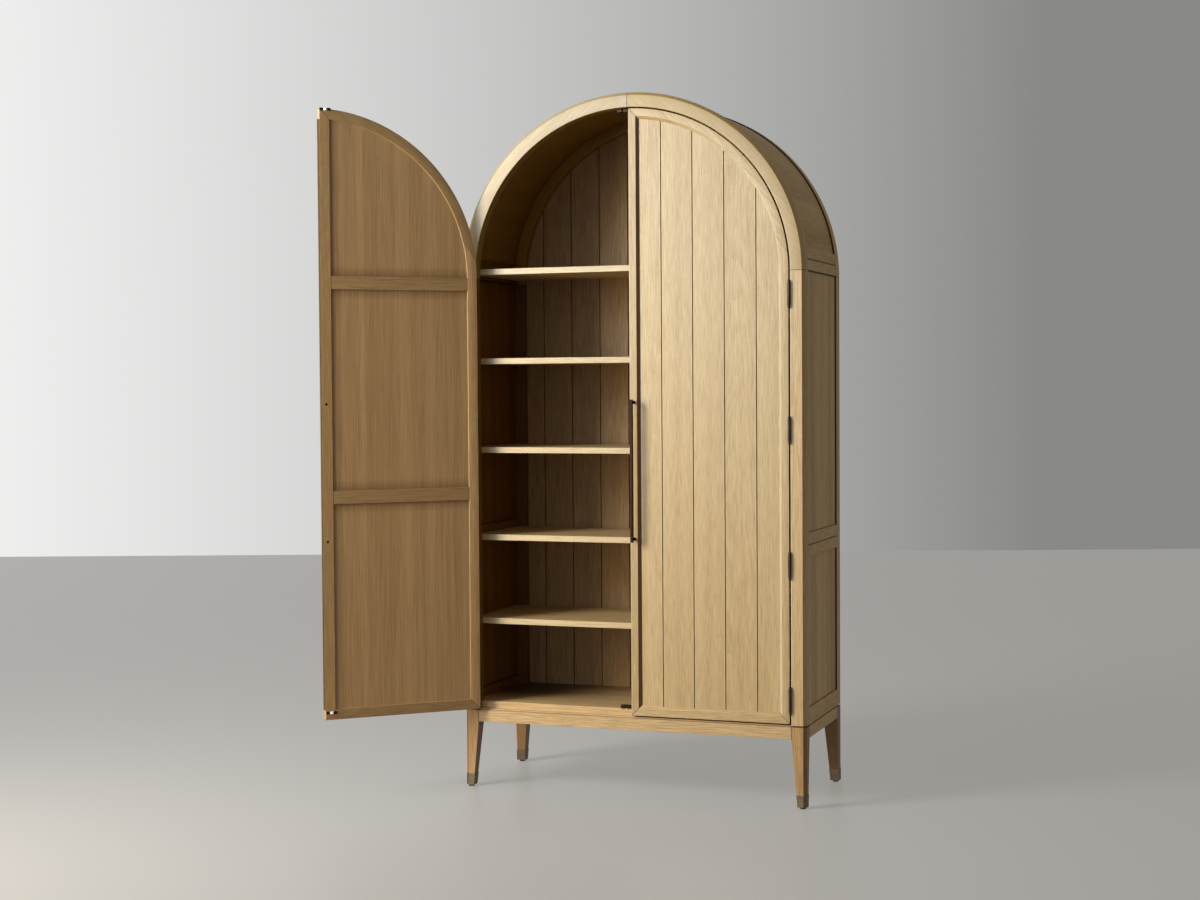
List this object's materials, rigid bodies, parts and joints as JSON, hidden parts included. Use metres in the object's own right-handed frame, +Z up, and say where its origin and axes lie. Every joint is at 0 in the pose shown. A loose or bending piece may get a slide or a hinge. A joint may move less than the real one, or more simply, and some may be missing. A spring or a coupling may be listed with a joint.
{
  "type": "arched two-door cabinet",
  "caption": "Tall arched cabinet on tapered legs: a round-topped frame, planked double doors on knuckle hinges, bar pulls and shelves inside.",
  "frame": {"origin": "middle of the whole part's box on the floor, in the rest pose with the left door open 136.7 degrees", "axes": "+X to the right seen from the front, +Y from the front to the back, +Z up"},
  "size_m": [1.5964, 0.9132, 2.4],
  "materials": {
    "oak": "matt clear lacquer on pale oak",
    "oak_inside": "matt clear lacquer on oak",
    "oak_veneer": "matt oak veneer, a little darker",
    "bronze": "brushed dark bronze",
    "dark_brass": "dull dark brass",
    "dark_hinge_metal": "satin black",
    "bright_steel": "bright steel",
    "glide_plastic": "matt black"
  },
  "bodies": {
    "carcass": {"adjustable_shelves": "oak_inside", "arch_front_left": "oak", "arch_front_right": "oak", "arch_rear_left": "oak", "arch_rear_right": "oak", "back_panel": "oak_inside", "base_plate": "oak", "catch_balls": "bright_steel", "catch_housings": "dark_brass", "ferrules": "bronze", "fixed_shelf_lower": "oak_inside", "fixed_shelf_upper": "oak_inside", "floor_board": "oak", "frame_hinge_leaves": "dark_hinge_metal", "front_apron": "oak", "glide_front_left": "glide_plastic", "glide_front_right": "glide_plastic", "glide_rear_left": "glide_plastic", "glide_rear_right": "glide_plastic", "hinge_pins": "dark_hinge_metal", "leg_front_left": "oak", "leg_front_right": "oak", "leg_rear_left": "oak", "leg_rear_right": "oak", "post_front_left": "oak", "post_front_right": "oak", "post_rear_left": "oak", "post_rear_right": "oak", "rear_apron": "oak", "roof_panel": "oak", "shelf_pins": "bright_steel", "side_aprons": "oak", "side_panels_left": "oak", "side_panels_right": "oak", "side_rails_left": "oak", "side_rails_right": "oak"},
    "left_door": {"left_arch_rail": "oak", "left_bottom_rail": "oak", "left_cross_rails": "oak", "left_handle_bar": "bronze", "left_handle_bolts": "bright_steel", "left_handle_standoffs": "bronze", "left_hinge_leaves": "dark_hinge_metal", "left_hinge_stile": "oak", "left_meeting_stile": "oak", "left_plank_panel": "oak", "left_strikes": "dark_brass", "left_veneer_panels": "oak_veneer"},
    "right_door": {"right_arch_rail": "oak", "right_bottom_rail": "oak", "right_cross_rails": "oak", "right_handle_bar": "bronze", "right_handle_bolts": "bright_steel", "right_handle_standoffs": "bronze", "right_hinge_leaves": "dark_hinge_metal", "right_hinge_stile": "oak", "right_meeting_stile": "oak", "right_plank_panel": "oak", "right_strikes": "dark_brass", "right_veneer_panels": "oak_veneer"}
  },
  "joints": [
    {"name": "left_door_hinge", "type": "hinge", "parent": "carcass", "child": "left_door", "pos_m": [-0.38102, -0.05012, 1.119], "axis": [0, 0, -1], "range_deg": [-136.7, 38.3]},
    {"name": "right_door_hinge", "type": "hinge", "parent": "carcass", "child": "right_door", "pos_m": [0.74398, -0.05012, 1.119], "axis": [0, 0, 1], "range_deg": [0, 175]}
  ]
}
